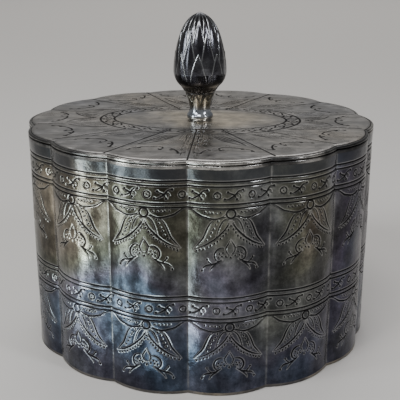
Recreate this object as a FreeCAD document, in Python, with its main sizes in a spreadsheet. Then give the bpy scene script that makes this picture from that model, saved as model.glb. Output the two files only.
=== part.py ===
"""Scalloped oval sugar bowl with a lift-off lid and a cast bud finial.

Frame: +Z up, origin on the table under the middle of the bowl, +X along the longer axis of the oval.
Every piece that follows the scalloped outline uses one outline: equal arcs whose centres stand at
equal steps round a small oval. An inset of the outline keeps the centres and shortens the radius,
so walls have an even gauge and the creases stay in line from the base to the lid.
"""
import FreeCAD, Part
import math
import os
import Sketcher
from FreeCAD import Vector

# Driving dimensions in millimetres, and one count.
SIZES = {
    # scalloped outline, seen from above
    "lobe_count": 14,
    "lobe_radius": 23.4,
    "ring_half_length": 33.4,
    "ring_half_width": 30.6,
    # bowl
    "base_gauge": 1.0,
    "base_round": 0.3,
    "wall_gauge": 0.9,
    "mouth_height": 70.6,
    "mouth_rim_height": 1.0,
    "mouth_rim_width": 1.3,
    "mouth_rim_round": 0.3,
    # lid
    "lid_gap": 0.3,
    "lid_height": 1.1,
    "lid_gauge": 0.8,
    "lid_rim_width": 0.9,
    "lid_bevel": 0.35,
    "collar_gauge": 0.8,
    "collar_depth": 5.0,
    "collar_clearance": 0.5,
    # finial, with heights above the top of the lid
    "foot_radius": 4.3,
    "foot_edge_height": 1.7,
    "foot_edge_round": 0.5,
    "foot_sweep": 3.0,
    "neck_radius": 3.4,
    "neck_height": 3.6,
    "cup_radius": 6.4,
    "cup_height": 11.2,
    "cup_hollow": 13.0,
    "cup_round": 7.0,
    "bud_radius": 8.8,
    "bud_height": 15.6,
    "bud_round": 34.0,
    "shoulder_radius": 6.5,
    "shoulder_height": 28.8,
    "tip_round": 10.0,
    "tip_radius": 0.4,
    "finial_height": 34.6,
    # fastening of the finial
    "stud_radius": 1.5,
    "stud_reach": 12.0,
    "stud_tail": 4.4,
    "stud_hole_radius": 1.65,
    "washer_radius": 3.5,
    "washer_gauge": 0.5,
    "nut_height": 2.4,
    "nut_corner_radius": 3.175,
}

# Levels above the table and insets from the outline, as expressions of the sheet.
FLUSH = "0"
WALL_TOP = "(Sizes.mouth_height - Sizes.mouth_rim_height)"
LID_UNDERSIDE = "(Sizes.mouth_height + Sizes.lid_gap)"
LID_TOP = f"({LID_UNDERSIDE} + Sizes.lid_height)"
PLATE_UNDERSIDE = f"({LID_TOP} - Sizes.lid_gauge)"
COLLAR_INSET = "(Sizes.mouth_rim_width + Sizes.collar_clearance)"
WASHER_UNDERSIDE = f"({PLATE_UNDERSIDE} - Sizes.washer_gauge)"
NUT_UNDERSIDE = f"({WASHER_UNDERSIDE} - Sizes.nut_height)"

doc = FreeCAD.newDocument("SugarBowl")
sheet = doc.addObject("Spreadsheet::Sheet", "Sizes")


def fill_sheet():
    """Put the driving dimensions in the spreadsheet, one alias to each."""
    for row, (alias, value) in enumerate(SIZES.items(), start=1):
        sheet.set(f"A{row}", alias)
        sheet.set(f"B{row}", str(value))
        sheet.setAlias(f"B{row}", alias)
    doc.recompute()


def value_of(expression):
    """The number that an expression of the sheet has now, which places a sketch before it is bound."""
    return float(sheet.evalExpression(expression))


def new_body(name):
    """A PartDesign body whose label names the sub-part."""
    body = doc.addObject("PartDesign::Body", name)
    body.Label = name
    return body


def new_sketch(body, name, role, level=None):
    """A sketch on one of the body's own origin planes, raised to a level if one is given."""
    sketch = body.newObject("Sketcher::SketchObject", name)
    plane = next(item for item in body.Origin.OriginFeatures if item.Role == role)
    sketch.AttachmentSupport = (plane, [""])
    sketch.MapMode = "FlatFace"
    if level:
        sketch.setExpression("AttachmentOffset.Base.z", level)
    return sketch


def hold(sketch, kind, target, expression):
    """Add a dimension to a sketch and bind it to the sheet."""
    index = sketch.addConstraint(Sketcher.Constraint(kind, *target, value_of(expression)))
    sketch.setExpression(f"Constraints[{index}]", expression)


def hold_point(sketch, geometry, vertex, across, up):
    """Hold a sketch point at two coordinates from the sheet; None keeps it on the axis there."""
    for kind, axis, expression in (("DistanceX", -2, across), ("DistanceY", -1, up)):
        if expression is None:
            sketch.addConstraint(Sketcher.Constraint("PointOnObject", geometry, vertex, axis))
        else:
            hold(sketch, kind, (-1, 1, geometry, vertex), expression)


def outer_crossing(one, other, reach):
    """Where two equal circles cross, on the side away from the origin."""
    middle = (one + other) / 2
    step = other - one
    rise = math.sqrt(reach ** 2 - step.Length ** 2 / 4)
    return middle + Vector(step.y, -step.x, 0).normalize() * rise


def add_outline(sketch, inset):
    """Draw the closed scalloped outline: equal arcs that meet at the creases, inset by a gauge."""
    count = SIZES["lobe_count"]
    radius = f"Sizes.lobe_radius - {inset}"
    reach = value_of(radius)
    steps = [f"360deg * {number} / Sizes.lobe_count" for number in range(count)]
    across = [f"Sizes.ring_half_length * cos({step})" for step in steps]
    up = [f"Sizes.ring_half_width * sin({step})" for step in steps]
    centres = [Vector(value_of(x), value_of(y), 0) for x, y in zip(across, up)]
    creases = [outer_crossing(centres[i], centres[(i + 1) % count], reach) for i in range(count)]
    first = sketch.GeometryCount
    for i, centre in enumerate(centres):
        begin, finish = creases[i - 1] - centre, creases[i] - centre
        circle = Part.Circle(centre, Vector(0, 0, 1), reach)
        begin_angle = math.atan2(begin.y, begin.x)
        finish_angle = math.atan2(finish.y, finish.x)
        sketch.addGeometry(Part.ArcOfCircle(circle, begin_angle, finish_angle))
    for i in range(count):
        arc, following = first + i, first + (i + 1) % count
        sketch.addConstraint(Sketcher.Constraint("Coincident", arc, 2, following, 1))
        on_axis = abs(centres[i].y) < 1e-9
        hold_point(sketch, arc, 3, across[i], None if on_axis else up[i])
        if i:
            sketch.addConstraint(Sketcher.Constraint("Equal", first, arc))
    hold(sketch, "Radius", (first,), radius)


def add_circle(sketch, radius):
    """Draw a circle about the sketch's origin."""
    circle = Part.Circle(Vector(0, 0, 0), Vector(0, 0, 1), value_of(radius))
    geometry = sketch.addGeometry(circle)
    sketch.addConstraint(Sketcher.Constraint("Coincident", geometry, 3, -1, 1))
    hold(sketch, "Radius", (geometry,), radius)


def pad(body, sketch, length):
    """Raise a sketch into a solid."""
    feature = body.newObject("PartDesign::Pad", body.Name + "_pad")
    feature.Profile = sketch
    feature.setExpression("Length", length)


def soften_outline(body, kind, level, size_property, size):
    """Bevel or round the edges of the full outline where it meets a level."""
    doc.recompute()
    solid = body.Tip
    outline = [
        f"Edge{number}"
        for number, edge in enumerate(solid.Shape.Edges, start=1)
        if all(abs(vertex.Z - value_of(level)) < 1e-6 for vertex in edge.Vertexes)
        and abs(edge.Curve.Radius - SIZES["lobe_radius"]) < 1e-6
    ]
    feature = body.newObject(kind, body.Name + "_edge")
    feature.Base = (solid, outline)
    feature.setExpression(size_property, size)


def lobed_plate(name, inset, level, gauge, hole=None):
    """A scalloped plate, with a round hole in its middle if one is given."""
    body = new_body(name)
    sketch = new_sketch(body, name + "_outline", "XY_Plane", level)
    add_outline(sketch, inset)
    if hole:
        add_circle(sketch, hole)
    pad(body, sketch, gauge)
    return body


def lobed_ring(name, inset, width, level, height):
    """A scalloped tube: the outline at an inset, less the same outline further in by a width."""
    body = new_body(name)
    sketch = new_sketch(body, name + "_outline", "XY_Plane", level)
    add_outline(sketch, inset)
    add_outline(sketch, f"({inset} + {width})")
    pad(body, sketch, height)
    return body


def round_ring(name, outside, inside, level, height):
    """A flat round washer."""
    body = new_body(name)
    sketch = new_sketch(body, name + "_outline", "XY_Plane", level)
    add_circle(sketch, outside)
    add_circle(sketch, inside)
    pad(body, sketch, height)
    return body


def arc_to(start, end, radius, way):
    """An arc between two corners of a profile that runs upward: "bulge" swells it, "hollow" waists it."""
    chord = end - start
    sag = radius - math.sqrt(radius ** 2 - chord.Length ** 2 / 4)
    outward = Vector(chord.y, -chord.x, 0).normalize()
    if way == "hollow":
        sag = -sag
    return Part.Arc(start, (start + end) / 2 + outward * sag, end)


def vertex_at(sketch, geometry, corner):
    """The end of a sketch line or arc that stands at a corner, because arcs may run either way."""
    return min((1, 2), key=lambda vertex: (sketch.getPoint(geometry, vertex) - corner).Length)


def turned(name, profile):
    """A piece turned about the Z axis.

    profile goes round the section, up the outside and back down the inside. Each entry is
    (radius, level, edge): None as the radius means on the axis, and edge leads to the next
    corner, straight if None, or an arc if (arc radius, "bulge" or "hollow").
    """
    body = new_body(name)
    sketch = new_sketch(body, name + "_profile", "XZ_Plane")
    corners = [Vector(value_of(across) if across else 0, value_of(up), 0) for across, up, edge in profile]
    count = len(corners)
    for i, (across, up, edge) in enumerate(profile):
        start, end = corners[i], corners[(i + 1) % count]
        if edge:
            sketch.addGeometry(arc_to(start, end, value_of(edge[0]), edge[1]))
        else:
            sketch.addGeometry(Part.LineSegment(start, end))
    for i, (across, up, edge) in enumerate(profile):
        here = vertex_at(sketch, i, corners[i])
        before = vertex_at(sketch, (i - 1) % count, corners[i])
        sketch.addConstraint(Sketcher.Constraint("Coincident", (i - 1) % count, before, i, here))
        hold_point(sketch, i, here, across, up)
        if edge:
            hold(sketch, "Radius", (i,), edge[0])
    feature = body.newObject("PartDesign::Revolution", name + "_turning")
    feature.Profile = sketch
    feature.ReferenceAxis = (sketch, ["V_Axis"])
    feature.Angle = 360
    return body


def cylinder(name, radius, level, height):
    """A plain cylinder about the Z axis."""
    rod = doc.addObject("Part::Cylinder", name)
    rod.Label = name
    rod.setExpression("Radius", radius)
    rod.setExpression("Height", height)
    rod.setExpression("Placement.Base.z", level)
    return rod


def hex_nut(name, corner_radius, bore, level, height):
    """A hexagonal nut about the Z axis."""
    blank = doc.addObject("Part::Prism", name + "_blank")
    blank.Polygon = 6
    blank.setExpression("Circumradius", corner_radius)
    blank.setExpression("Height", height)
    blank.setExpression("Placement.Base.z", level)
    nut = doc.addObject("Part::Cut", name)
    nut.Label = name
    nut.Base = blank
    nut.Tool = cylinder(name + "_bore", bore, level, height)
    return nut


def above_lid(alias):
    """The level of a height that is measured from the top of the lid."""
    return f"{LID_TOP} + Sizes.{alias}"


def bowl_pieces():
    """Flat base, scalloped wall standing on it, and the wire round its mouth."""
    base = lobed_plate("base_plate", FLUSH, "0mm", "Sizes.base_gauge")
    soften_outline(base, "PartDesign::Fillet", "0mm", "Radius", "Sizes.base_round")
    wall = lobed_ring(
        "body_wall", FLUSH, "Sizes.wall_gauge", "Sizes.base_gauge", f"{WALL_TOP} - Sizes.base_gauge"
    )
    rim = lobed_ring("mouth_rim", FLUSH, "Sizes.mouth_rim_width", WALL_TOP, "Sizes.mouth_rim_height")
    soften_outline(rim, "PartDesign::Fillet", "Sizes.mouth_height", "Radius", "Sizes.mouth_rim_round")
    return [base, wall, rim]


def lid_pieces():
    """Flat plate inside its edge wire, and the flange under it that drops into the mouth."""
    plate = lobed_plate(
        "lid_plate", "Sizes.lid_rim_width", PLATE_UNDERSIDE, "Sizes.lid_gauge", "Sizes.stud_hole_radius"
    )
    rim = lobed_ring("lid_rim", FLUSH, "Sizes.lid_rim_width", LID_UNDERSIDE, "Sizes.lid_height")
    soften_outline(rim, "PartDesign::Chamfer", LID_TOP, "Size", "Sizes.lid_bevel")
    collar = lobed_ring(
        "lid_collar",
        COLLAR_INSET,
        "Sizes.collar_gauge",
        f"{PLATE_UNDERSIDE} - Sizes.collar_depth",
        "Sizes.collar_depth",
    )
    return [plate, rim, collar]


def finial_pieces():
    """Cast bud on its turned foot, and the stud, washer and nut that hold them to the lid."""
    foot = turned("finial_foot", [
        ("Sizes.stud_radius", LID_TOP, None),
        ("Sizes.foot_radius - Sizes.foot_edge_round", LID_TOP, ("Sizes.foot_edge_round", "bulge")),
        ("Sizes.foot_radius", above_lid("foot_edge_round"), None),
        ("Sizes.foot_radius", above_lid("foot_edge_height"), ("Sizes.foot_sweep", "hollow")),
        ("Sizes.neck_radius", above_lid("neck_height"), None),
        ("Sizes.stud_radius", above_lid("neck_height"), None),
    ])
    bud = turned("finial_bud", [
        ("Sizes.stud_radius", above_lid("neck_height"), None),
        ("Sizes.neck_radius", above_lid("neck_height"), ("Sizes.cup_hollow", "hollow")),
        ("Sizes.cup_radius", above_lid("cup_height"), ("Sizes.cup_round", "bulge")),
        ("Sizes.bud_radius", above_lid("bud_height"), ("Sizes.bud_round", "bulge")),
        ("Sizes.shoulder_radius", above_lid("shoulder_height"), ("Sizes.tip_round", "bulge")),
        ("Sizes.tip_radius", above_lid("finial_height"), None),
        (None, above_lid("finial_height"), None),
        (None, above_lid("stud_reach"), None),
        ("Sizes.stud_radius", above_lid("stud_reach"), None),
    ])
    stud_length = "Sizes.stud_tail + Sizes.stud_reach"
    stud = cylinder("finial_stud", "Sizes.stud_radius", f"{LID_TOP} - Sizes.stud_tail", stud_length)
    washer = round_ring(
        "finial_washer",
        "Sizes.washer_radius",
        "Sizes.stud_hole_radius",
        WASHER_UNDERSIDE,
        "Sizes.washer_gauge",
    )
    nut = hex_nut(
        "finial_nut", "Sizes.nut_corner_radius", "Sizes.stud_radius", NUT_UNDERSIDE, "Sizes.nut_height"
    )
    return [foot, bud, stud, washer, nut]


def check_document():
    """Stop if any object of the document failed to build."""
    for item in doc.Objects:
        if {"Invalid", "Error"} & set(item.State):
            raise RuntimeError(f"{item.Label} failed to build: {item.State}")


def write_pieces(pieces):
    """Write each sub-part to a file named after its label."""
    os.makedirs("parts", exist_ok=True)
    for piece in pieces:
        shape = piece.Shape
        if shape.isNull() or not shape.isValid() or len(shape.Solids) != 1:
            raise RuntimeError(f"{piece.Label} is not one valid solid")
    for piece in pieces:
        piece.Shape.exportStep(os.path.join("parts", piece.Label + ".step"))
        box = piece.Shape.BoundBox
        print(f"{piece.Label}: {piece.Shape.Volume:.1f} mm3, z {box.ZMin:.2f} to {box.ZMax:.2f}")


fill_sheet()
pieces = bowl_pieces() + lid_pieces() + finial_pieces()
doc.recompute()
check_document()
write_pieces(pieces)
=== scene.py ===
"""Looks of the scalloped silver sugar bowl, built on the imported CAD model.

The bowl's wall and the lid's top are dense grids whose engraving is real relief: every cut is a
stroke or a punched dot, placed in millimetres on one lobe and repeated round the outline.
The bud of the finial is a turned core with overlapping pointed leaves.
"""

import math

import bpy
import numpy as np
from mathutils import Euler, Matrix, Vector


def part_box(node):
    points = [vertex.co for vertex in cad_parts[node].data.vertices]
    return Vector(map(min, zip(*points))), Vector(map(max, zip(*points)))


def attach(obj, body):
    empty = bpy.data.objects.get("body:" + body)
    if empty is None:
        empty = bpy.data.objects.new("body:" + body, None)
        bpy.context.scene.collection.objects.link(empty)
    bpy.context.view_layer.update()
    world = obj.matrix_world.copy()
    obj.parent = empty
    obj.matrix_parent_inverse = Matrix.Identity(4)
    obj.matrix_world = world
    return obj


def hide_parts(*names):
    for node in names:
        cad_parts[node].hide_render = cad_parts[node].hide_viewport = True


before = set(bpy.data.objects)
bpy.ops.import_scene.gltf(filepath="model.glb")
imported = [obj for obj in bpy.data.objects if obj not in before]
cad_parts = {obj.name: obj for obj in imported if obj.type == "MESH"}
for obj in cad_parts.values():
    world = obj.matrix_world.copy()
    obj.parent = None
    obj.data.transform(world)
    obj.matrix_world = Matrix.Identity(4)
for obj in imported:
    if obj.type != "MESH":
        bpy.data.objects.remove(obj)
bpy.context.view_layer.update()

MM = 0.001

# ---- Sizes: the outline's own numbers, and places read from the frame ----
LOBES = 14
LOBE_RADIUS = 23.4 * MM
WALL_BOX = np.array(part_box("body_wall"))
WALL_GAUGE = 0.9 * MM
LID_BOX = np.array(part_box("lid_plate"))
RIM_BOX = np.array(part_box("lid_rim"))
MOUTH_BOX = np.array(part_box("mouth_rim"))
LID_TOP = LID_BOX[1, 2]
RIM_WIDTH = 0.9 * MM
MOUTH_RIM_WIDTH = 1.3 * MM
STUD_HOLE = 1.65 * MM
RING_X = WALL_BOX[1, 0] - LOBE_RADIUS
RING_Y = (WALL_BOX[1, 1] - LOBE_RADIUS) / math.cos(math.pi / LOBES)

SEED = 14


# ---- The scalloped outline ----
def outer_crossing(one, other, reach):
    """Where two equal circles cross, on the side away from the middle."""
    step = other - one
    gap = np.hypot(*step)
    rise = math.sqrt(reach ** 2 - gap ** 2 / 4)
    return (one + other) / 2 + np.array([step[1], -step[0]]) / gap * rise


def outline(inset, columns):
    """Points, outward normals and distance along the arc from its middle, for every lobe in turn.

    Lobe 0 points along +X, and each lobe has the same number of columns, the first on its crease.
    """
    reach = LOBE_RADIUS - inset
    turns = 2 * np.pi * np.arange(LOBES) / LOBES
    centres = np.stack([RING_X * np.cos(turns), RING_Y * np.sin(turns)], 1)
    creases = np.array([outer_crossing(centres[i], centres[(i + 1) % LOBES], reach) for i in range(LOBES)])
    points, normals, along = [], [], []
    for i in range(LOBES):
        start, end = creases[i - 1] - centres[i], creases[i] - centres[i]
        first = math.atan2(start[1], start[0])
        sweep = (math.atan2(end[1], end[0]) - first) % (2 * math.pi)
        share = np.arange(columns) / columns
        angle = first + sweep * share
        normal = np.stack([np.cos(angle), np.sin(angle)], 1)
        normal[0] = creases[i - 1] / np.hypot(*creases[i - 1])
        points.append(centres[i] + reach * np.stack([np.cos(angle), np.sin(angle)], 1))
        normals.append(normal)
        along.append((share - 0.5) * sweep * reach)
    return np.concatenate(points), np.concatenate(normals), np.concatenate(along)


# ---- Meshes ----
def ring_faces(rows, columns, start=0):
    """Quads of a grid of rows that closes round its columns, counter-clockwise seen from outside."""
    row, column = np.meshgrid(np.arange(rows - 1), np.arange(columns), indexing="ij")
    nearby = (column + 1) % columns
    low, high = row * columns, (row + 1) * columns
    quads = np.stack([low + column, low + nearby, high + nearby, high + column], -1)
    return quads.reshape(-1, 4) + start


def joining_faces(one, other, columns):
    """Quads between two closed rings of vertices, each known by its first vertex."""
    here = np.arange(columns)
    nearby = (here + 1) % columns
    return np.stack([here + one, nearby + one, nearby + other, here + other], 1)


def make_mesh(name, verts, quads, tris=(), facts=None):
    """A mesh object from arrays; facts are float attributes, one value to a vertex."""
    quads = np.asarray(quads, dtype=np.int64).reshape(-1, 4)
    tris = np.asarray(tris, dtype=np.int64).reshape(-1, 3)
    mesh = bpy.data.meshes.new(name)
    mesh.vertices.add(len(verts))
    mesh.vertices.foreach_set("co", np.asarray(verts, dtype=np.float32).ravel())
    loops = np.concatenate([quads.ravel(), tris.ravel()])
    totals = np.concatenate([np.full(len(quads), 4), np.full(len(tris), 3)])
    starts = np.concatenate([[0], np.cumsum(totals)[:-1]])
    mesh.loops.add(len(loops))
    mesh.loops.foreach_set("vertex_index", loops.astype(np.int32))
    mesh.polygons.add(len(totals))
    mesh.polygons.foreach_set("loop_start", starts.astype(np.int32))
    mesh.polygons.foreach_set("use_smooth", np.full(len(totals), True))
    for fact, values in (facts or {}).items():
        layer = mesh.attributes.new(fact, "FLOAT", "POINT")
        layer.data.foreach_set("value", np.asarray(values, dtype=np.float32))
    mesh.update(calc_edges=True)
    mesh.validate()
    piece = bpy.data.objects.new(name, mesh)
    bpy.context.scene.collection.objects.link(piece)
    return piece


def sharpen(piece, degrees):
    """Keep edges sharper than an angle crisp in the shading."""
    piece.data.set_sharp_from_angle(angle=math.radians(degrees))


def place(piece, body, slot, *nodes):
    """Hang a piece on its body and hide the plain CAD nodes it stands for; its slot is not used."""
    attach(piece, body)
    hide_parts(*nodes)


# ---- Engraving: strokes and dots cut into a grid of depths, all in millimetres ----
def smooth_path(points, steps=6):
    """A smooth line through given points (Catmull-Rom)."""
    p = np.array(points, dtype=float)
    if len(p) < 3:
        return p
    p = np.concatenate([[2 * p[0] - p[1]], p, [2 * p[-1] - p[-2]]])
    line = []
    for a, b, c, d in zip(p[:-3], p[1:-2], p[2:-1], p[3:]):
        for t in np.arange(steps) / steps:
            line.append(0.5 * (2 * b + (c - a) * t + (2 * a - 5 * b + 4 * c - d) * t ** 2
                               + (3 * b - a - 3 * c + d) * t ** 3))
    line.append(p[-2])
    return np.array(line)


class Plate:
    """A flat grid of engraving depths, across by down."""

    def __init__(self, across, down):
        self.across = across
        self.down = down
        self.depth = np.zeros((len(down), len(across)))

    def window(self, low, high):
        """The rows and columns that a box covers."""
        columns = slice(*np.searchsorted(self.across, (low[0], high[0])))
        rows = slice(*np.searchsorted(self.down, (low[1], high[1])))
        return rows, columns

    def stroke(self, points, width, depth, taper=0.5):
        """A cut along a smooth line, narrower and shallower towards its ends by the taper."""
        line = smooth_path(points)
        travel = np.concatenate([[0], np.cumsum(np.hypot(*np.diff(line, axis=0).T))])
        share = travel / travel[-1]
        swell = 1 - taper * np.abs(2 * share - 1) ** 2.5
        for a, b, first, last in zip(line[:-1], line[1:], swell[:-1], swell[1:]):
            half = width / 2
            rows, columns = self.window(np.minimum(a, b) - half, np.maximum(a, b) + half)
            if rows.start >= rows.stop or columns.start >= columns.stop:
                continue
            x, y = np.meshgrid(self.across[columns], self.down[rows])
            run = b - a
            t = np.clip(((x - a[0]) * run[0] + (y - a[1]) * run[1]) / max(run @ run, 1e-12), 0, 1)
            away = np.hypot(x - a[0] - t * run[0], y - a[1] - t * run[1])
            size = first + (last - first) * t
            self.cut(rows, columns, depth * size * groove(away / (half * size)))

    def dot(self, centre, radius, depth):
        """A round punch mark."""
        centre = np.array(centre)
        rows, columns = self.window(centre - radius, centre + radius)
        x, y = np.meshgrid(self.across[columns], self.down[rows])
        away = np.hypot(x - centre[0], y - centre[1]) / radius
        self.cut(rows, columns, depth * np.clip(1 - away ** 2, 0, 1))

    def circle(self, centre, radius, width, depth):
        """A round cut."""
        turns = np.linspace(0, 2 * np.pi, 17)
        ring = [(centre[0] + radius * math.cos(t), centre[1] + radius * math.sin(t)) for t in turns]
        self.stroke(ring, width, depth, taper=0)

    def cut(self, rows, columns, depth):
        """Keep the deeper of what is there and a new cut."""
        self.depth[rows, columns] = np.maximum(self.depth[rows, columns], depth)


def groove(share):
    """The section of a cut: 1 at its middle, 0 at its edge, a V with soft shoulders."""
    rise = np.clip(1 - share, 0, 1)
    return rise ** 1.25 * (1.6 - 0.6 * rise)


# ---- The wall's pattern: millimetres across from a lobe's middle and down from a tier's top line ----
TIER_TOPS = (LID_TOP / MM - 5.9, LID_TOP / MM - 40.5)
TIER_HEIGHT = 27.0
TIER_MARGIN = 0.6
CREASE_HIGHLIGHT_WIDTH = 0.4 * MM
WALL_DENTS = 0.16 * MM
LINE = 0.8
FINE = 0.62
CUT = 0.27
BAND_LINES = (-0.05, 1.3, 6.35, 7.55)
BAND_MIDDLE = 3.8
BOSS = 9.1
# roundels are counted in lobes round the wall, from lobe 0's middle
ROUNDELS_PER_LOBE = 2.5
FIRST_ROUNDEL = 0.044


def wall_band(plate, lobe, pitch):
    """Two pairs of lines round the wall, with roundels and curled sprigs between them."""
    edge = plate.across[-1] + 1
    for down in BAND_LINES:
        plate.stroke([(-edge, down), (edge, down)], LINE, CUT, taper=0)
    step = 1 / ROUNDELS_PER_LOBE
    first = math.floor((lobe - 1 - FIRST_ROUNDEL) / step)
    for number in range(first, first + 8):
        centre = (FIRST_ROUNDEL + number * step - lobe) * pitch
        plate.circle((centre, BAND_MIDDLE), 0.95, FINE, CUT)
        plate.dot((centre, BAND_MIDDLE), 0.34, CUT * 0.9)
        sprig(plate, centre + step * pitch / 2, BAND_MIDDLE)


def sprig(plate, x, y):
    """A curled stem that rises to the right, crossed by a shorter one, with thick ends."""
    stem = [(-3.1, 1.0), (-2.0, 1.05), (-0.9, 0.5), (0.0, -0.1), (0.7, -1.0), (1.4, -1.45), (2.4, -1.5)]
    cross = [(-2.0, -1.0), (-1.2, -0.55), (-0.4, -0.2), (0.1, 0.4), (0.45, 1.1)]
    curl = [(0.3, -0.3), (1.0, -0.5), (1.5, 0.1), (1.2, 0.7)]
    for path, width in ((stem, LINE), (cross, LINE), (curl, FINE * 0.8)):
        plate.stroke([(x + a, y + b) for a, b in path], width, CUT)
    for a, b in ((-2.9, 1.05), (-2.0, -1.0), (2.2, -1.5), (0.5, 1.1)):
        plate.dot((x + a, y + b), 0.5, CUT)


def wall_motif(plate, hand):
    """Hanging pair of leaves, drop, scrolls and twigs, alike on both sides of the lobe's middle."""
    swag = [(12.4, 7.6), (10.9, 8.1), (9.7, 8.9), (8.6, 9.6), (7.2, 10.0), (5.6, 10.4), (3.9, 10.4),
            (2.5, 9.9), (1.4, 8.9)]
    leaf_shoulder = [(1.1, 9.8), (2.6, 10.0), (4.3, 10.5)]
    leaf_outside = [(4.3, 10.5), (5.6, 11.5), (6.5, 13.1), (7.15, 14.7), (7.8, 16.2), (9.0, 17.8),
                    (10.5, 19.6)]
    leaf_inside = [(0.1, 10.8), (0.5, 12.0), (1.5, 13.4), (2.6, 14.6), (3.9, 15.9), (5.3, 17.0), (7.0, 18.1),
                   (8.7, 18.9), (10.5, 19.6)]
    teardrop = [(0.4, 10.8), (1.3, 10.4), (2.4, 11.3), (3.2, 12.9), (3.7, 14.5), (4.2, 16.1)]
    teardrop_inside = [(0.6, 11.2), (1.0, 12.4), (1.8, 13.7), (2.8, 14.9), (4.2, 16.1)]
    drop = [(0, 16.6), (0.6, 17.8), (1.2, 18.9), (1.25, 19.9), (0.75, 20.8), (0, 21.1)]
    scroll = [(1.2, 19.2), (2.5, 18.9), (3.8, 19.6), (4.5, 20.9), (4.35, 22.1), (3.6, 22.9), (2.8, 22.7),
              (2.5, 22.0)]
    stem = [(2.2, 22.5), (3.8, 23.4), (5.4, 24.0), (6.8, 24.3), (7.7, 25.0), (8.1, 25.9)]
    twig_low = [(3.2, 23.3), (4.4, 24.1), (5.3, 25.0), (5.9, 26.1)]
    twig_high = [(5.2, 23.8), (6.1, 23.2), (6.6, 22.4)]
    swag_dots = [(2.9, 8.6), (4.1, 8.65), (5.1, 8.65), (6.1, 8.6), (7.3, 8.5)]
    leaf_dots = [(3.6, 11.1), (4.3, 12.1), (4.9, 13.2), (5.5, 14.4), (6.0, 15.5), (6.9, 16.7)]
    fringe = [(0.65, 13.6), (1.45, 14.6), (2.15, 15.4), (2.9, 16.3), (3.7, 17.0), (4.6, 17.6), (5.6, 18.2),
              (6.6, 18.8), (7.6, 19.3), (8.6, 19.7), (9.7, 20.1)]
    scroll_dots = [(2.1, 20.4), (3.2, 20.7), (2.5, 21.4), (1.4, 21.4), (3.4, 21.8)]
    for side in (-1, 1):
        wander = hand.normal(0, 0.07, 2)

        def at(points):
            return [(side * x + wander[0], y + wander[1]) for x, y in points]

        for path, width in ((swag, LINE), (leaf_outside, LINE), (leaf_shoulder, FINE), (leaf_inside, LINE),
                            (teardrop, FINE), (teardrop_inside, FINE * 0.8), (scroll, LINE), (stem, LINE),
                            (twig_low, FINE), (twig_high, FINE), (drop, FINE)):
            plate.stroke(at(path), width * hand.uniform(0.9, 1.12), CUT)
        for dots, radius in ((swag_dots, 0.36), (leaf_dots, 0.38), (fringe, 0.4), (scroll_dots, 0.37)):
            for centre in at(dots):
                plate.dot(np.array(centre) + hand.normal(0, 0.06, 2), radius, CUT)
        plate.dot(at([stem[-1]])[0], 0.42, CUT)
        plate.dot(at([twig_high[-1]])[0], 0.42, CUT)
    plate.circle((0, BOSS), 1.25, LINE, CUT)
    plate.dot((0, 12.5), 0.38, CUT)
    plate.dot((0, 22.0), 0.42, CUT)


def dents(points):
    """Slow unevenness of hand-raised sheet: between 0 and 1 at each point."""
    hand = np.random.RandomState(SEED)
    total = np.zeros(len(points))
    for number in range(14):
        way = hand.normal(size=3)
        way /= np.linalg.norm(way)
        length = hand.uniform(8, 34) * MM
        total += np.sin(points @ way * 2 * np.pi / length + hand.uniform(0, 6.3))
    return 0.5 + 0.5 * np.tanh(total / 3.2)


def engraved_levels():
    """Heights of the wall's rows, close together in the two engraved tiers."""
    fine, coarse = 0.22, 1.2
    low, high = WALL_BOX[0, 2] / MM, WALL_BOX[1, 2] / MM
    stops = [low]
    for top in reversed(TIER_TOPS):
        stops += [top - TIER_HEIGHT, top + TIER_MARGIN]
    stops.append(high)
    levels = [low]
    for number, (a, b) in enumerate(zip(stops[:-1], stops[1:])):
        step = fine if number % 2 else coarse
        levels += list(np.linspace(a, b, max(2, round((b - a) / step) + 1))[1:])
    return np.array(levels)


def crease_nearness(along, arc_length):
    """1 on a crease, falling to 0 a little way along the wall; the mask of the painted highlight on the
    creases.
    """
    return np.clip(1 - (arc_length / 2 - np.abs(along)) / CREASE_HIGHLIGHT_WIDTH, 0, 1)


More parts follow.
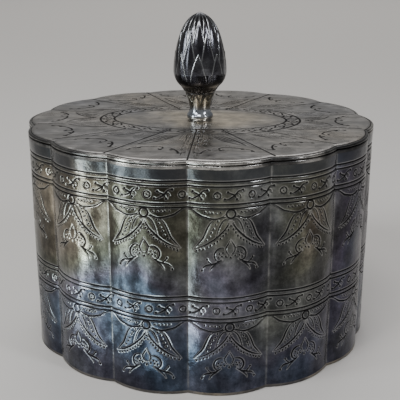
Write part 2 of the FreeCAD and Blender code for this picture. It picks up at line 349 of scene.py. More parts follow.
def build_wall():
    """The engraved wall: a dense outside skin and a plain inside skin, closed at top and bottom."""
    columns = 96
    around, normals, along = outline(0, columns)
    levels = engraved_levels()
    depth = np.zeros((len(levels), len(around)))
    hand = np.random.RandomState(SEED)
    for lobe in range(LOBES):
        part = slice(lobe * columns, (lobe + 1) * columns)
        across = along[part] / MM
        pitch = -2 * across[0]
        for top in TIER_TOPS:
            low, high = top - TIER_HEIGHT - 1e-6, top + TIER_MARGIN + 0.01
            rows = np.nonzero((levels > low) & (levels < high))[0][::-1]
            plate = Plate(across, top - levels[rows])
            wall_band(plate, lobe, pitch)
            wall_motif(plate, hand)
            depth[rows, part] = plate.depth
    total = len(around)
    outside = np.zeros((len(levels), total, 3))
    outside[..., :2] = around
    outside[..., 2] = levels[:, None] * MM
    hollow = WALL_DENTS * dents(outside.reshape(-1, 3)).reshape(depth.shape)
    fade = np.clip(np.minimum(levels - levels[0], levels[-1] - levels) / 1.5, 0, 1)
    outside[..., :2] -= normals * (depth * MM + hollow * fade[:, None])[..., None]
    inner = outline(WALL_GAUGE, columns)[0]
    inner_rows = np.linspace(levels[0], levels[-1], 12)
    inside = np.zeros((len(inner_rows), total, 3))
    inside[..., :2] = inner
    inside[..., 2] = inner_rows[:, None] * MM
    verts = np.concatenate([outside.reshape(-1, 3), inside.reshape(-1, 3)])
    faces = [ring_faces(len(levels), total)]
    base = len(levels) * total
    faces.append(ring_faces(len(inner_rows), total, base)[:, ::-1])
    faces.append(joining_faces(base - total, base + (len(inner_rows) - 1) * total, total))
    faces.append(joining_faces(base, 0, total))
    arcs = np.repeat(-2 * along[::columns], columns)
    crease = np.tile(crease_nearness(along, arcs), len(levels))
    plain = np.zeros(len(inner_rows) * total)
    facts = {
        "engraved": np.concatenate([depth.ravel() / CUT, plain]),
        "crease": np.concatenate([crease, plain]),
        "inside": np.concatenate([np.zeros(base), plain + 1]),
    }
    wall = make_mesh("engraved_wall", verts, np.concatenate(faces), facts=facts)
    sharpen(wall, 60)
    place(wall, "bowl", "engraved_silver", "body_wall")
    return wall


# ---- The lid's pattern: sizes in millimetres in plan ----
LID_LINE = 0.85
LID_FINE = 0.76
LID_CUT = 0.16
LID_DENTS = 0.12 * MM
INNER_OVAL = (28.5, 15.4)
OUTER_OVAL = (33.0, 21.4)
RIM_OVAL = (53.4, 51.6)
EDGE_ROLL_WIDTH = 1.3
EDGE_ROLL_DROP = 0.3


def oval_reach(oval, angle):
    """Distance from the middle to an oval in a direction."""
    return 1 / math.sqrt((math.cos(angle) / oval[0]) ** 2 + (math.sin(angle) / oval[1]) ** 2)


def ring_angle(steps):
    """The direction, seen from the middle, of a place on the ring of lobe centres, in lobes from +X."""
    turn = 2 * math.pi * steps / LOBES
    return math.atan2(RING_Y * math.sin(turn), RING_X * math.cos(turn))


def sector_mapper(lobe, mirrored):
    """Turns (across -1 to 1 between a lobe's creases, out 0 to 1 from outer oval to rim) into plan."""
    edges = [ring_angle(lobe - 0.5), ring_angle(lobe + 0.5)]
    if edges[1] < edges[0]:
        edges[1] += 2 * math.pi
    if mirrored:
        edges.reverse()

    def plan(points):
        placed = []
        for across, out in points:
            angle = edges[0] + (edges[1] - edges[0]) * (across + 1) / 2
            near, far = oval_reach(OUTER_OVAL, angle), oval_reach(RIM_OVAL, angle)
            reach = near + out * (far - near)
            placed.append((reach * math.cos(angle), reach * math.sin(angle)))
        return placed

    return plan


def lid_motif(plate, lobe):
    """One lobe of the star: hatching, a long leaf and a braced line with curled ends."""
    right_half = lobe < LOBES / 4 or lobe > 3 * LOBES / 4
    front_half = lobe > LOBES / 2
    end_lobe = lobe in (0, LOBES // 2)
    plan = sector_mapper(lobe, right_half == front_half)
    leaf_near = [(-0.36, 0.06), (-0.56, 0.18), (-0.7, 0.34), (-0.77, 0.54)]
    leaf_far = [(0.14, 0.05), (-0.12, 0.24), (-0.42, 0.40), (-0.77, 0.54)]
    leaf_ribs = ([(-0.2, 0.08), (-0.42, 0.22), (-0.62, 0.37)], [(0.0, 0.08), (-0.26, 0.23), (-0.52, 0.38)])
    arch = [(-0.7, 0.79), (-0.68, 0.72), (-0.5, 0.63), (-0.25, 0.575), (-0.03, 0.56), (0.12, 0.58),
            (0.17, 0.63), (0.1, 0.66), (0.04, 0.63)]
    tail = [(0.2, 0.6), (0.34, 0.59), (0.5, 0.63), (0.63, 0.69), (0.72, 0.76), (0.84, 0.75), (0.88, 0.70)]
    knobs = [(-0.68, 0.76), (-0.5, 0.66), (0.14, 0.67), (0.45, 0.66), (0.72, 0.77)]
    for side in ((1, -1) if end_lobe else (1,)):
        for path in (leaf_near, leaf_far):
            plate.stroke(plan([(side * a, b) for a, b in path]), LID_LINE * 0.8, LID_CUT)
        for path in leaf_ribs:
            plate.stroke(plan([(side * a, b) for a, b in path]), LID_FINE * 0.8, LID_CUT)
    for path in (arch, tail):
        plate.stroke(plan(path), LID_LINE * 0.85, LID_CUT)
    for knob in knobs:
        plate.dot(plan([knob])[0], 0.62, LID_CUT)
    for number in range(0 if end_lobe else 6):
        start = 0.34 + 0.11 * number
        length = 0.34 - 0.035 * abs(number - 3)
        plate.stroke(plan([(start, 0.02), (start + 0.03, 0.04 + length)]), LID_FINE, LID_CUT)


def lid_rays(plate):
    """A ray on every crease from the inner oval to the rim, with a finer one beside it."""
    for crease in range(LOBES):
        angle = ring_angle(crease + 0.5)
        way = np.array([math.cos(angle), math.sin(angle)])
        aside = np.array([-way[1], way[0]]) * (1 if way[0] * way[1] > 0 else -1)
        near, far = oval_reach(INNER_OVAL, angle), oval_reach(RIM_OVAL, angle)
        plate.stroke([way * near, way * (far - 0.6)], LID_LINE, LID_CUT, taper=0.2)
        start = oval_reach(OUTER_OVAL, angle) + 0.6
        plate.stroke([way * start + aside * 1.7, way * (far * 0.85) + aside * 0.7], LID_FINE, LID_CUT)
        if abs(way[0]) < 0.01:
            for step in (-2.3, -1.2, 1.2, 2.3):
                plate.stroke([way * start + aside * step, way * (far - 4) + aside * step], LID_FINE, LID_CUT)


def lid_band(plate):
    """The plain middle's two oval lines, with lens shapes and dots between them."""
    for oval in (INNER_OVAL, OUTER_OVAL):
        turns = np.linspace(0, 2 * np.pi, 73)
        line = [(oval[0] * math.cos(t), oval[1] * math.sin(t)) for t in turns]
        plate.stroke(line, LID_LINE, LID_CUT, taper=0)
    middle = [(a + b) / 2 for a, b in zip(INNER_OVAL, OUTER_OVAL)]
    lenses = 2 * LOBES
    for number in range(lenses):
        turn = 2 * math.pi * (number + 0.5) / lenses
        centre = np.array([middle[0] * math.cos(turn), middle[1] * math.sin(turn)])
        way = np.array([-middle[0] * math.sin(turn), middle[1] * math.cos(turn)])
        size = np.hypot(*way)
        way /= size
        out = np.array([way[1], -way[0]])
        reach = min(2.5, size * math.pi / lenses * 0.85)
        for side in (-1, 1):
            path = [centre - way * reach, centre + side * out * 1.5, centre + way * reach]
            plate.stroke(path, LID_FINE * 0.85, LID_CUT, taper=0.2)
        plate.dot(centre, 0.6, LID_CUT)


def build_lid_plate():
    """The lid's flat sheet: engraved top, plain underside and the hole for the stud."""
    columns, rings = 72, 185
    around = outline(RIM_WIDTH, columns)[0]
    total = len(around)
    pitch = 0.2
    reach_x, reach_y = LID_BOX[1, 0] / MM + 1, LID_BOX[1, 1] / MM + 1
    plate = Plate(np.arange(-reach_x, reach_x, pitch), np.arange(-reach_y, reach_y, pitch))
    lid_band(plate)
    lid_rays(plate)
    for lobe in range(LOBES):
        lid_motif(plate, lobe)
    angle = np.arctan2(around[:, 1], around[:, 0])
    hole = STUD_HOLE * np.stack([np.cos(angle), np.sin(angle)], 1)
    share = np.linspace(0, 1, rings)[:, None, None]
    flat = hole + (around - hole) * share
    column = (flat[..., 0] / MM + reach_x) / pitch
    row = (flat[..., 1] / MM + reach_y) / pitch
    c, r = column.astype(int), row.astype(int)
    u, v = column - c, row - r
    d = plate.depth
    depth = (d[r, c] * (1 - u) * (1 - v) + d[r, c + 1] * u * (1 - v)
             + d[r + 1, c] * (1 - u) * v + d[r + 1, c + 1] * u * v)
    depth[-1] = LID_CUT * 0.6
    top = np.zeros((rings, total, 3))
    top[..., :2] = flat
    top[..., 2] = LID_TOP
    sag = LID_DENTS * dents(top.reshape(-1, 3) * 0.8).reshape(depth.shape)
    edge_fade = np.clip((1 - share[..., 0]) * 12, 0, 1)
    to_edge = np.hypot(*(around - flat).transpose(2, 0, 1)) / MM
    roll = EDGE_ROLL_DROP * np.clip(1 - to_edge / EDGE_ROLL_WIDTH, 0, 1) ** 2
    top[..., 2] -= (depth + roll) * MM + sag * edge_fade
    under = np.zeros((2, total, 3))
    under[0, :, :2] = hole
    under[1, :, :2] = around
    under[..., 2] = LID_BOX[0, 2]
    verts = np.concatenate([top.reshape(-1, 3), under.reshape(-1, 3)])
    base = rings * total
    faces = [
        ring_faces(rings, total)[:, ::-1],
        ring_faces(2, total, base),
        joining_faces(base + total, base - total, total),
        joining_faces(0, base, total),
    ]
    facts = {"engraved": np.concatenate([depth.ravel() / LID_CUT, np.zeros(2 * total)]),
             "inside": np.concatenate([np.zeros(base), np.ones(2 * total)])}
    lid = make_mesh("engraved_lid", verts, np.concatenate(faces), facts=facts)
    sharpen(lid, 60)
    place(lid, "lid", "lid_silver", "lid_plate")
    return lid


# ---- Rims: a profile of (inset, height) swept round the outline ----
def closed_section(rows, columns):
    """Faces of a closed section swept round a closed ring."""
    return np.concatenate([ring_faces(rows, columns), joining_faces((rows - 1) * columns, 0, columns)])


def build_rim(name, profile, body, node):
    """A wire round the outline; profile runs round its section in millimetres."""
    columns = 64
    rings = [outline(inset * MM, columns)[0] for inset, level in profile]
    total = len(rings[0])
    verts = np.zeros((len(profile), total, 3))
    for number, (inset, level) in enumerate(profile):
        verts[number, :, :2] = rings[number]
        verts[number, :, 2] = level * MM
    rim = make_mesh(name, verts.reshape(-1, 3), closed_section(len(profile), total))
    sharpen(rim, 50)
    place(rim, body, "rim_silver", node)
    return rim


def rounded_corner(inset, level, radius, start, steps=4):
    """Points of a quarter round about a centre, from a start angle in degrees, outside towards the top."""
    angles = np.radians(start + 90 * np.arange(steps + 1) / steps)
    return [(inset - radius * math.cos(a), level + radius * math.sin(a)) for a in angles]


def build_mouth_rim():
    """The wire round the bowl's mouth, with a rounded outer edge."""
    low, high = MOUTH_BOX[0, 2] / MM, MOUTH_BOX[1, 2] / MM
    width = MOUTH_RIM_WIDTH / MM
    radius = 0.3
    profile = [(0, low), (0.02, low + 0.12)] + rounded_corner(radius, high - radius, radius, 0)
    profile += [(width - 0.1, high), (width, high - 0.1), (width, low)]
    return build_rim("mouth_wire", profile, "bowl", "mouth_rim")


def build_lid_rim():
    """The bevelled wire round the lid's edge."""
    low, high = RIM_BOX[0, 2] / MM, RIM_BOX[1, 2] / MM
    width = RIM_WIDTH / MM
    inner = high - EDGE_ROLL_DROP
    profile = [(0.12, low), (0, low + 0.12), (0, high - 0.72), (0.06, high - 0.58), (0.2, high - 0.45),
               (0.45, high - 0.33), (width - 0.06, inner - 0.02), (width, inner - 0.08), (width, low)]
    return build_rim("lid_edge_wire", profile, "lid", "lid_rim")


# ---- The finial: heights in millimetres above the top of the lid ----
STUD_RADIUS = 1.5
STUD_REACH = 12.0
NECK = (3.4, 3.6)
CUP = (6.4, 11.2)
BELLY = (8.8, 15.6)
SHOULDER = (6.5, 28.8)
TIP = (0.4, 34.6)
LEAF_ROWS = (
    # base, tip, widest half width, height above the sunk core, first leaf's turn in steps
    (18.0, 34.6, 2.2, 0.02, 0.5),
    (15.5, 34.4, 3.2, 0.14, 0.0),
    (13.0, 28.9, 3.35, 0.28, 0.5),
    (12.2, 22.8, 2.95, 0.42, 0.0),
)
LEAF_SINK = 0.62
LEAVES_PER_ROW = 8
FACING = -90.0


def arc_points(start, end, radius, swell, steps=14):
    """Points (distance from the axis, height) of an arc; it swells outwards or, with -1, hollows."""
    start, end = np.array(start), np.array(end)
    step = end - start
    gap = np.hypot(*step)
    rise = math.sqrt(radius ** 2 - gap ** 2 / 4)
    centre = (start + end) / 2 + np.array([-step[1], step[0]]) / gap * rise * swell
    first = math.atan2(*(start - centre)[::-1])
    sweep = (math.atan2(*(end - centre)[::-1]) - first + math.pi) % (2 * math.pi) - math.pi
    angles = first + sweep * np.linspace(0, 1, steps)
    return [tuple(centre + radius * np.array([math.cos(a), math.sin(a)])) for a in angles]


def bud_core(heights):
    """The turned form under the leaves: distance from the axis at each height."""
    line = arc_points(NECK, CUP, 13, -1)
    line += arc_points(CUP, BELLY, 7, 1)[1:]
    line += arc_points(BELLY, SHOULDER, 34, 1)[1:]
    line += arc_points(SHOULDER, TIP, 10, 1, steps=40)[1:]
    across, up = np.array(line).T
    return np.interp(heights, up, across)


def leaf_width(share):
    """Half width of a pointed leaf, as a share of its widest, from its base (0) to its tip (1)."""
    return np.clip(1 - np.clip((share - 0.1) / 0.9, 0, 1) ** 1.6, 0, 1)


def leaf_row(turn, height, core, base, tip, width, lift, shift):
    """One row of leaves over the grid of turns and heights: its relief, its bead edges and where it is."""
    step = 2 * np.pi / LEAVES_PER_ROW
    first = math.radians(FACING) + shift * step
    offset = (turn - first + step / 2) % step - step / 2
    across = offset * core
    share = (height - base) / (tip - base)
    half = width * leaf_width(share)
    from_edge = half - np.abs(across)
    inside = np.clip(from_edge / 0.18, 0, 1) * (share > 0) * (share < 1)
    bead = np.exp(-((from_edge - 0.36) / 0.27) ** 2)
    keel = 1 - np.sqrt((across / np.maximum(half, 0.1)) ** 2 + 0.03)
    crown = 0.34 * np.clip(keel, 0, 1) - 0.16
    veins = 0.03 * np.cos(across / 0.38 * np.pi) * np.clip(1 - share * 2.2, 0, 1)
    lying = lift * (1 - 0.75 * np.clip(share, 0, 1) ** 2)
    return lying - LEAF_SINK + crown + veins + 0.13 * bead, bead * inside, inside


def bud_relief(turn, height, core):
    """Height of the leaves over the turned form, the lowest row outermost, and how worn each point is."""
    grown = np.clip((height - LEAF_ROWS[-1][0]) / 2.2, 0, 1)
    relief = np.full(turn.shape, -LEAF_SINK - 0.25)
    worn = np.zeros(turn.shape)
    for base, tip, width, lift, shift in LEAF_ROWS:
        row, bead, inside = leaf_row(turn, height, core, base, tip, width, lift, shift)
        relief = relief + (row - relief) * inside
        worn = worn * (1 - inside) + bead
    relief = relief * grown
    step = 2 * np.pi / LEAVES_PER_ROW
    offset = np.abs((turn - math.radians(FACING + 6) + step / 2) % step - step / 2) / (step / 2)
    sepal = offset - (height - 6.4) / 2.7
    cut = np.exp(-(sepal * step / 2 * core / 0.3) ** 2)
    rib = 0.6 * np.exp(-(offset * step / 2 * core / 0.2) ** 2)
    calyx = np.clip((height - 6.1) / 0.3, 0, 1) * np.clip((9.0 - height) / 0.3, 0, 1)
    band = np.exp(-((height - 9.2) / 0.25) ** 2)
    beads = np.exp(-((height - 10.1) / 0.45) ** 2) * np.clip(np.cos(turn * 24) * 2, -1, 0.2)
    relief = relief - 0.28 * np.maximum(cut, rib) * calyx - 0.25 * band + 0.12 * beads
    return relief, worn * grown


def turned_ring(radius, turns, height):
    """Points at a distance from the axis, in each direction, at a height."""
    return np.stack([radius * np.cos(turns), radius * np.sin(turns), height + 0 * turns], -1)


def turned_mesh(rings, floor_height, roof_height):
    """A closed body from rings of points; the first and last rings are closed by a fan."""
    rows, columns = rings.shape[:2]
    middle = np.array([[0, 0, floor_height], [0, 0, roof_height]])
    verts = np.concatenate([rings.reshape(-1, 3), middle])
    here = np.arange(columns)
    nearby = (here + 1) % columns
    last = (rows - 1) * columns
    low = np.full(columns, rows * columns)
    fans = [np.stack([nearby, here, low], 1), np.stack([here + last, nearby + last, low + 1], 1)]
    return verts, ring_faces(rows, columns), np.concatenate(fans)


def cup_painted_shade(height):
    """Painted shade on the cup and the leaves' bases, where they turn under: 1 there, falling to 0 above and
    below.
    """
    return np.clip((height - 8.6) / 1.2, 0, 1) * np.clip((14.2 - height) / 1.6, 0, 1)


def build_bud():
    """The cast bud: rows of pointed leaves over a turned core, with the stud's blind hole."""
    columns = 384
    heights = np.concatenate([np.linspace(NECK[1], 31.8, 270), np.linspace(31.8, TIP[1], 44)[1:]])
    turns = 2 * np.pi * np.arange(columns) / columns
    turn, height = np.meshgrid(turns, heights)
    core = bud_core(heights)[:, None] * np.ones_like(turn)
    relief, worn = bud_relief(turn, height, core)
    narrow = np.clip(core / 6.0, 0, 1)
    radius = np.clip(core + relief * narrow, 0.05, BELLY[0] - 0.01)
    hole = [turned_ring(STUD_RADIUS, turns, level) for level in (STUD_REACH, NECK[1])]
    rings = np.concatenate([hole, turned_ring(radius, turn, height)])
    verts, quads, tris = turned_mesh(rings, STUD_REACH, TIP[1])
    verts = verts * MM
    verts[:, 2] += LID_TOP
    hollow = np.clip(-(relief + 0.62) / 0.2, 0, 1) * np.clip((core - 1.2) / 2, 0, 1)
    facts = {}
    for fact, skin in (("engraved", hollow), ("worn", worn), ("cup", cup_painted_shade(height))):
        facts[fact] = np.concatenate([np.zeros(2 * columns), skin.ravel(), [0, 0]])
    bud = make_mesh("cast_bud", verts, quads, tris, facts=facts)
    sharpen(bud, 70)
    place(bud, "lid", "cast_silver", "finial_bud")
    return bud


def build_foot():
    """The turned foot of the finial: a rounded lower edge, a bell and a fillet under the bud."""
    columns = 128
    radius, edge, round_edge = 4.3, 1.7, 0.5
    line = [(STUD_RADIUS, NECK[1]), (STUD_RADIUS, 0.0), (radius - round_edge - 0.15, 0.0),
            (radius - round_edge - 0.1, 0.33)]
    line += arc_points((radius - round_edge, 0.35), (radius, 0.35 + round_edge), round_edge, 1, steps=8)
    line += [(radius, edge - 0.25)]
    line += arc_points((radius - 0.06, edge), NECK, 3.0, -1, steps=14)
    turns = 2 * np.pi * np.arange(columns) / columns
    verts = np.concatenate([turned_ring(across, turns, up) for across, up in line]) * MM
    verts[:, 2] += LID_TOP
    foot = make_mesh("turned_foot", verts, closed_section(len(line), columns))
    sharpen(foot, 40)
    place(foot, "lid", "cast_silver", "finial_foot")
    return foot


# ---- Materials ----
class Finish:
    """A metal being put together from nodes, in the object's own coordinates."""

    def __init__(self, name):
        self.material = bpy.data.materials.new(name)
        self.material.use_nodes = True
        self.tree = self.material.node_tree
        self.shader = self.tree.nodes["Principled BSDF"]
        self.shader.inputs["Metallic"].default_value = 1.0
        self.place = self.tree.nodes.new("ShaderNodeTexCoord").outputs["Object"]

    def join(self, source, socket):
        """Link a node's output, or set a plain number or colour."""
        if isinstance(source, bpy.types.NodeSocket):
            self.tree.links.new(source, socket)
        else:
            socket.default_value = source

    def noise(self, scale, detail=3.0, roughness=0.55, stretch=(1, 1, 1), shift=(0, 0, 0), twist=0.0):
        """Cloudy noise from 0 to 1; a stretch below 1 draws it out along that axis."""
        mapping = self.tree.nodes.new("ShaderNodeMapping")
        mapping.inputs["Scale"].default_value = stretch
        mapping.inputs["Location"].default_value = shift
        self.join(self.place, mapping.inputs["Vector"])
        cloud = self.tree.nodes.new("ShaderNodeTexNoise")
        self.join(mapping.outputs["Vector"], cloud.inputs["Vector"])
        cloud.inputs["Scale"].default_value = scale
        cloud.inputs["Detail"].default_value = detail
        cloud.inputs["Roughness"].default_value = roughness
        cloud.inputs["Distortion"].default_value = twist
        return cloud.outputs["Fac"]

    def along(self, axis):
        """How far a point is along the object's own X, or Z, its height above the table."""
        node = self.tree.nodes.new("ShaderNodeSeparateXYZ")
        self.join(self.place, node.inputs[0])
        return node.outputs[axis]

    def reach(self, sizes):
        """The distance from the middle, 1 at an oval of these half sizes."""
        scale = self.tree.nodes.new("ShaderNodeMapping")
        scale.inputs["Scale"].default_value = [1 / size for size in sizes] + [0]
        self.join(self.place, scale.inputs["Vector"])
        length = self.tree.nodes.new("ShaderNodeVectorMath")
        length.operation = "LENGTH"
        self.join(scale.outputs["Vector"], length.inputs[0])
        return length.outputs["Value"]

    def fact(self, name):
        """A value that the mesh carries at each point."""
        node = self.tree.nodes.new("ShaderNodeAttribute")
        node.attribute_name = name
        return node.outputs["Fac"]

    def ramp(self, source, *stops):
        """Colours or greys at stops along a value."""
        node = self.tree.nodes.new("ShaderNodeValToRGB")
        marks = node.color_ramp.elements
        while len(marks) < len(stops):
            marks.new(0.5)
        for mark, (where, tone) in zip(marks, stops):
            mark.position = where
            mark.color = (tone, tone, tone, 1) if isinstance(tone, (int, float)) else (*tone, 1)
        self.join(source, node.inputs["Fac"])
        return node.outputs["Color"]

    def span(self, source, low, high, to_low=0.0, to_high=1.0):
        """A value's range, moved to another range and held within it."""
        node = self.tree.nodes.new("ShaderNodeMapRange")
        for socket, value in (("From Min", low), ("From Max", high), ("To Min", to_low), ("To Max", to_high)):
            node.inputs[socket].default_value = value
        self.join(source, node.inputs["Value"])
        return node.outputs["Result"]

    def mix(self, share, first, second, how="MIX"):
        """Two colours mixed by a share."""
        node = self.tree.nodes.new("ShaderNodeMix")
        node.data_type = "RGBA"
        node.blend_type = how
        self.join(share, node.inputs[0])
        self.join(first if isinstance(first, bpy.types.NodeSocket) else (*first, 1), node.inputs[6])
        self.join(second if isinstance(second, bpy.types.NodeSocket) else (*second, 1), node.inputs[7])
        return node.outputs[2]

    def shade(self, share, colour, cloud, *stops):
        """A colour made darker and lighter by a cloud, at (place in the cloud, factor) stops."""
        return self.mix(share, colour, self.ramp(cloud, *stops), "MULTIPLY")

    def maths(self, operation, first, second):
        """Two values joined by a Math node."""
        node = self.tree.nodes.new("ShaderNodeMath")
        node.operation = operation
        self.join(first, node.inputs[0])
        self.join(second, node.inputs[1])
        return node.outputs[0]

    def bump(self, height, distance, strength=1.0, under=None):
        """Fine relief in the shading."""
        node = self.tree.nodes.new("ShaderNodeBump")
        node.inputs["Strength"].default_value = strength
        node.inputs["Distance"].default_value = distance
        self.join(height, node.inputs["Height"])
        if under is not None:
            self.join(under, node.inputs["Normal"])
        return node.outputs["Normal"]

    def done(self, colour, roughness, normal, sooty=None):
        """Join the result to the shader; soot isn't a metal."""
        self.shader.inputs["Specular IOR Level"].default_value = 0.0
        if sooty is not None:
            self.join(self.maths("SUBTRACT", 1.0, sooty), self.shader.inputs["Metallic"])
        self.join(colour, self.shader.inputs["Base Color"])
        self.join(roughness, self.shader.inputs["Roughness"])
        self.join(normal, self.shader.inputs["Normal"])
        return self.material


SOOT = (0.008, 0.0075, 0.008)


def wall_metal():
    """Tarnished silver plate: blue, violet and brown clouds, drip streaks, soot in every cut; painted shade
    towards +X and painted highlights on the creases and the cuts' lips.
    """
    f = Finish("tarnished_silver_wall_with_painted_light")
    clouds = f.noise(46, 5, 0.58, stretch=(1, 1, 0.7), twist=0.6)
    tone = f.ramp(clouds, (0.36, 0.036), (0.46, 0.060), (0.53, 0.092), (0.60, 0.15), (0.72, 0.25))
    # painted shade: darker and more violet towards +X; and darker and bluer near the table
    tone = f.mix(f.span(f.along("X"), 0.028, 0.046, 0, 0.7), tone, (0.034, 0.028, 0.036))
    tone = f.mix(f.span(f.along("Z"), 0.006, 0.036, 0.5, 0), tone, (0.045, 0.05, 0.06))
    low_down = f.span(f.along("Z"), 0.012, 0.062, -0.1, 0.06)
    hue = f.maths("ADD", f.noise(19, 3, 0.5, shift=(0.4, 0.7, 0.1), twist=0.4), low_down)
    # painted shade: the hue also moves towards violet towards +X
    hue = f.maths("SUBTRACT", hue, f.span(f.along("X"), 0.004, 0.034, 0, 0.06))
    tint = f.shade(1.0, tone, hue, (0.34, (0.76, 0.96, 1.3)), (0.42, (0.94, 0.91, 1.17)),
                   (0.5, (0.96, 1.0, 1.0)), (0.58, (1.02, 1.03, 0.80)), (0.68, (1.14, 1.0, 0.78)))
    streaks = f.noise(190, 4, 0.6, stretch=(1, 1, 0.16), shift=(0.3, 0.1, 0))
    tint = f.shade(0.7, tint, streaks, (0.34, 0.5), (0.55, 1.0), (0.72, 1.6))
    mottle = f.noise(210, 6, 0.65, shift=(0, 0.2, 0.4))
    tint = f.shade(0.8, tint, mottle, (0.34, 0.45), (0.5, 1.0), (0.66, 1.7))
    speckle = f.noise(1500, 2, 0.6)
    tint = f.shade(0.4, tint, speckle, (0.3, 0.6), (0.5, 1.0), (0.72, 1.5))
    # the plain band above the upper tier is dark all round
    tint = f.mix(f.span(f.along("Z"), 0.0655, 0.0668, 0, 0.75), tint, (0.04, 0.044, 0.052))
    cut = f.fact("engraved")
    # painted highlight: a light line along each crease, broken up by the mottle
    painted_crease_highlight = f.maths("MULTIPLY", f.fact("crease"), f.span(mottle, 0.4, 0.6, 0.05, 0.5))
    tint = f.mix(painted_crease_highlight, tint, (0.34, 0.34, 0.33))
    # a cut's lips are lighter, partly rubbed wear and partly a painted highlight on the cut's edges, and its
    # floor holds the soot
    tint = f.mix(f.ramp(cut, (0.0, 0.0), (0.08, 0.32), (0.3, 0.32), (0.45, 0.0)), tint, (0.5, 0.5, 0.49))
    soot = f.span(cut, 0.4, 0.62, 0, 0.97)
    tint = f.mix(soot, tint, SOOT)
    tint = f.mix(f.span(f.fact("inside"), 0.4, 0.6, 0, 0.8), tint, (0.34, 0.31, 0.25))
    rough = f.maths("ADD", f.span(clouds, 0.35, 0.65, 0.25, 0.14), f.span(mottle, 0.3, 0.7, -0.04, 0.07))
    rough = f.maths("ADD", rough, f.span(cut, 0.5, 0.9, 0, 0.2))
    hammer = f.bump(f.noise(80, 2, 0.5), 0.0016, 0.5)
    grain = f.bump(f.noise(900, 3, 0.6), 0.00012, 0.4, hammer)
    scratch = f.bump(f.noise(420, 3, 0.6, stretch=(1, 1, 5)), 0.0001, 0.3, grain)
    return f.done(tint, rough, scratch, soot)


def lid_metal():
    """The lid's top: greyer and more rubbed than the wall, with hairlines and warm clouds in the middle."""
    f = Finish("rubbed_silver_lid")
    clouds = f.noise(24, 4, 0.6, shift=(0.6, 0.2, 0), twist=0.6)
    tint = f.ramp(clouds, (0.32, (0.15, 0.15, 0.16)), (0.45, (0.23, 0.225, 0.225)),
                  (0.58, (0.31, 0.295, 0.28)), (0.7, (0.42, 0.38, 0.33)))
    mottle = f.noise(260, 6, 0.65)
    inside_oval = f.span(f.reach([size * MM for size in INNER_OVAL]), 0.55, 1.0, 1, 0)
    middle = f.maths("MULTIPLY", inside_oval, f.span(clouds, 0.4, 0.55, 0.25, 0.9))
    tint = f.mix(middle, tint, (0.56, 0.49, 0.38))
    tint = f.shade(0.7, tint, mottle, (0.32, 0.62), (0.5, 1.0), (0.68, 1.35))
    hairs = f.noise(520, 3, 0.6, stretch=(0.12, 1, 1), shift=(0.2, 0, 0))
    tint = f.shade(0.6, tint, hairs, (0.36, 0.7), (0.5, 1.0), (0.66, 1.4))
    cut = f.fact("engraved")
    soot = f.span(cut, 0.05, 0.32, 0, 0.96)
    tint = f.mix(soot, tint, SOOT)
    tint = f.mix(f.span(f.fact("inside"), 0.4, 0.6, 0, 0.7), tint, (0.30, 0.27, 0.21))
    rough = f.maths("ADD", f.span(clouds, 0.35, 0.65, 0.36, 0.26), f.span(mottle, 0.3, 0.7, -0.04, 0.06))
    grain = f.bump(f.noise(800, 3, 0.6), 0.0001, 0.5, f.bump(f.noise(80, 2, 0.5), 0.0012, 0.35))
    rough = f.maths("ADD", rough, f.span(cut, 0.2, 0.6, 0, 0.25))
    return f.done(tint, rough, f.bump(hairs, 0.00008, 0.35, grain), soot)


def rim_metal():
    """The two wires: cloudy dark and bright patches, with dark spots."""
    f = Finish("worn_silver_rim")
    clouds = f.noise(52, 3, 0.5, shift=(0, 0.5, 0))
    tint = f.ramp(clouds, (0.40, (0.03, 0.03, 0.032)), (0.5, (0.11, 0.108, 0.106)),
                  (0.62, (0.42, 0.41, 0.39)))
    spots = f.noise(420, 4, 0.6)
    tint = f.shade(0.75, tint, spots, (0.34, 0.4), (0.5, 1.0), (0.68, 1.4))
    rough = f.span(clouds, 0.3, 0.7, 0.3, 0.16)
    return f.done(tint, rough, f.bump(f.noise(700, 3, 0.6), 0.0001, 0.5))


def plain_metal():
    """Unworked silver plate of the base and the collar."""
    f = Finish("dull_silver")
    clouds = f.noise(34, 5, 0.6, twist=0.6)
    tint = f.ramp(clouds, (0.32, (0.06, 0.058, 0.062)), (0.5, (0.15, 0.14, 0.13)), (0.66, (0.27, 0.24, 0.19)))
    spots = f.noise(330, 5, 0.65)
    tint = f.shade(0.7, tint, spots, (0.34, 0.55), (0.5, 1.0), (0.68, 1.45))
    rough = f.maths("ADD", f.span(clouds, 0.3, 0.7, 0.42, 0.3), f.span(spots, 0.3, 0.7, -0.04, 0.06))
    return f.done(tint, rough, f.bump(f.noise(700, 3, 0.6), 0.0001, 0.5, f.bump(f.noise(120), 0.0006, 0.4)))


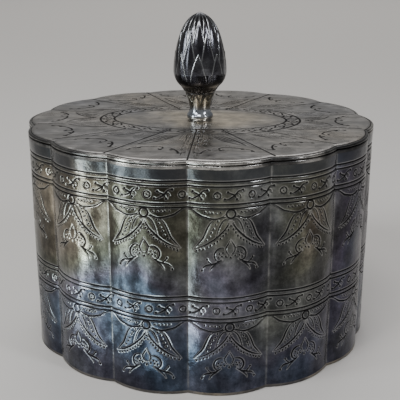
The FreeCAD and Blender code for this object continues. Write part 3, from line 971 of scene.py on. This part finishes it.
def cast_metal():
    """The finial: black between its leaves, painted shade on its cup, worn bright on the leaves' edges."""
    f = Finish("blackened_cast_silver_with_painted_shade")
    clouds = f.noise(140, 4, 0.6)
    tint = f.ramp(clouds, (0.32, (0.035, 0.035, 0.042)), (0.5, (0.07, 0.07, 0.08)),
                  (0.68, (0.15, 0.155, 0.17)))
    pits = f.noise(700, 4, 0.6)
    tint = f.shade(0.6, tint, pits, (0.34, 0.5), (0.5, 1.0), (0.66, 1.4))
    tint = f.mix(f.span(f.fact("worn"), 0.3, 0.9, 0, 0.6), tint, (0.42, 0.43, 0.44))
    # painted shade on the cup and the leaves' bases
    tint = f.mix(f.span(f.fact("cup"), 0, 1, 0, 0.65), tint, (0.025, 0.023, 0.024))
    waist = f.shade(0.8, (0.27, 0.26, 0.225), pits, (0.36, 0.3), (0.5, 1.0), (0.64, 1.7))
    above_lid = f.maths("SUBTRACT", f.along("Z"), LID_TOP)
    tint = f.mix(f.span(above_lid, 0.0065, 0.0095, 0.85, 0), tint, waist)
    tint = f.mix(f.span(above_lid, 0.0036, 0.005, 0.85, 0), tint, (0.34, 0.37, 0.42))
    soot = f.span(f.fact("engraved"), 0.2, 0.9, 0, 0.96)
    tint = f.mix(soot, tint, SOOT)
    rough = f.maths("ADD", f.span(clouds, 0.3, 0.7, 0.24, 0.13), f.span(f.fact("engraved"), 0.1, 0.9, 0, 0.2))
    return f.done(tint, rough, f.bump(pits, 0.00006, 0.3, f.bump(f.noise(240, 2), 0.00015, 0.3)), soot)


def foot_metal():
    """The finial's foot: smoother and bluer than the bud, handled bright."""
    f = Finish("blued_cast_silver")
    clouds = f.noise(170, 4, 0.6, shift=(0.1, 0, 0.2))
    tint = f.ramp(clouds, (0.32, (0.15, 0.16, 0.20)), (0.5, (0.34, 0.37, 0.42)), (0.66, (0.62, 0.65, 0.68)))
    pits = f.noise(900, 3, 0.6)
    tint = f.shade(0.5, tint, pits, (0.34, 0.6), (0.5, 1.0), (0.66, 1.3))
    return f.done(tint, f.span(clouds, 0.3, 0.7, 0.22, 0.12), f.bump(pits, 0.00008, 0.4))


def fastener_brass():
    """Turned brass of the stud, washer and nut, browned with age."""
    f = Finish("aged_brass")
    clouds = f.noise(180, 4, 0.6)
    tint = f.ramp(clouds, (0.32, (0.16, 0.10, 0.04)), (0.5, (0.42, 0.29, 0.12)), (0.7, (0.62, 0.46, 0.2)))
    turning = f.noise(1600, 2, 0.5, stretch=(0.1, 0.1, 1))
    tint = f.shade(0.5, tint, turning, (0.35, 0.7), (0.5, 1.0), (0.65, 1.25))
    rough = f.span(clouds, 0.3, 0.7, 0.42, 0.26)
    return f.done(tint, rough, f.bump(turning, 0.00006, 0.5))


# ---- Putting it together ----
def finish_piece(piece, material):
    """Give a piece, or a CAD node's object, one material."""
    if not piece.data.materials:
        piece.data.materials.append(material)
    for slot in piece.material_slots:
        slot.material = material


silver_cast = cast_metal()
silver_rim = rim_metal()
silver_plain = plain_metal()
brass = fastener_brass()
finish_piece(build_wall(), wall_metal())
finish_piece(build_lid_plate(), lid_metal())
finish_piece(build_mouth_rim(), silver_rim)
finish_piece(build_lid_rim(), silver_rim)
finish_piece(build_bud(), silver_cast)
finish_piece(build_foot(), foot_metal())
for node in ("base_plate", "lid_collar"):
    finish_piece(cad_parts[node], silver_plain)
for node in ("finial_stud", "finial_washer", "finial_nut"):
    finish_piece(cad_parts[node], brass)


# ---- Floor, light and camera ----
GLOW = (0.86, 1.0, 1.0)
CAMERA_PLACE = Vector((17.99, -265.02, 130.72)) * MM
CAMERA_DIP = 0.31687
CAMERA_TURN = 0.06776


def build_floor():
    """A plain pale table top."""
    count, reach, drop = 64, 4.0, 0.05 * MM
    turns = 2 * np.pi * np.arange(count) / count
    verts = [(reach * math.cos(t), reach * math.sin(t), -drop) for t in turns] + [(0, 0, -drop)]
    tris = [(i, (i + 1) % count, count) for i in range(count)]
    floor = make_mesh("table_top", np.array(verts), [], tris)
    material = bpy.data.materials.new("pale_table")
    material.use_nodes = True
    paint = material.node_tree.nodes["Principled BSDF"]
    paint.inputs["Base Color"].default_value = (0.62, 0.60, 0.58, 1)
    paint.inputs["Roughness"].default_value = 0.6
    floor.data.materials.append(material)


def table_glow(name, place, turn, width, height, power):
    """A dim lamp lying on the table and facing up, like a bright patch of table; it isn't seen itself."""
    softbox(name, place, (place[0], place[1], 1), width, height, power, GLOW)
    bpy.data.objects[name].rotation_euler = (math.pi, 0, math.radians(turn))


def softbox(name, place, aim, width, height, power, colour=(1, 1, 1)):
    """A rectangular lamp that faces a point and isn't seen itself."""
    lamp = bpy.data.lights.new(name, "AREA")
    lamp.shape = "RECTANGLE"
    lamp.size = width
    lamp.size_y = height
    lamp.energy = power
    lamp.color = colour
    holder = bpy.data.objects.new(name, lamp)
    holder.location = place
    holder.rotation_euler = (Vector(aim) - Vector(place)).to_track_quat("-Z", "Y").to_euler()
    holder.visible_camera = False
    bpy.context.scene.collection.objects.link(holder)


build_floor()
softbox("window_light", (-0.42, -0.5, 0.6), (0, 0, 0.05), 0.2, 0.3, 2.4)
softbox("side_light", (-0.9, -0.46, 0.37), (0, 0, 0.09), 0.22, 0.6, 4.6, (0.94, 1.0, 1.0))
softbox("ceiling_light", (-0.06, -0.3, 0.75), (0, 0, 0.04), 0.2, 0.2, 1.6)
softbox("room_light", (0.55, -0.35, 0.5), (0, 0, 0.05), 0.12, 0.25, 1.5, (0.94, 0.95, 1.0))
softbox("far_table_light", (0.0, 1.4, 1.5), (0, 1.3, 0), 1.6, 1.0, 16, (1.0, 0.99, 0.97))
# strips lying beside the bowl, which put upright bars of light on its front and left lobes
table_glow("far_glow_left", (-0.208, -0.135, 0.001), 28, 0.19, 0.042, 0.36)
table_glow("far_glow_front", (-0.118, -0.202, 0.001), 52, 0.16, 0.03, 0.11)
table_glow("near_glow_left", (-0.099, -0.0635, 0.001), 25, 0.09, 0.013, 0.016)
table_glow("near_glow_middle", (-0.079, -0.0815, 0.001), 30, 0.09, 0.013, 0.016)
table_glow("near_glow_front", (-0.041, -0.103, 0.001), 52, 0.09, 0.015, 0.026)

world = bpy.data.worlds.new("studio")
world.use_nodes = True
backdrop = world.node_tree.nodes["Background"]
backdrop.inputs["Color"].default_value = (0.80, 0.79, 0.77, 1)
backdrop.inputs["Strength"].default_value = 0.34
bpy.context.scene.world = world

camera_data = bpy.data.cameras.new("photo_view")
camera_data.lens = 73.5
camera_data.sensor_width = 36
camera = bpy.data.objects.new("photo_view", camera_data)
camera.location = CAMERA_PLACE
camera.rotation_euler = Euler((math.pi / 2 - CAMERA_DIP, 0, CAMERA_TURN))
bpy.context.scene.collection.objects.link(camera)
bpy.context.scene.camera = camera
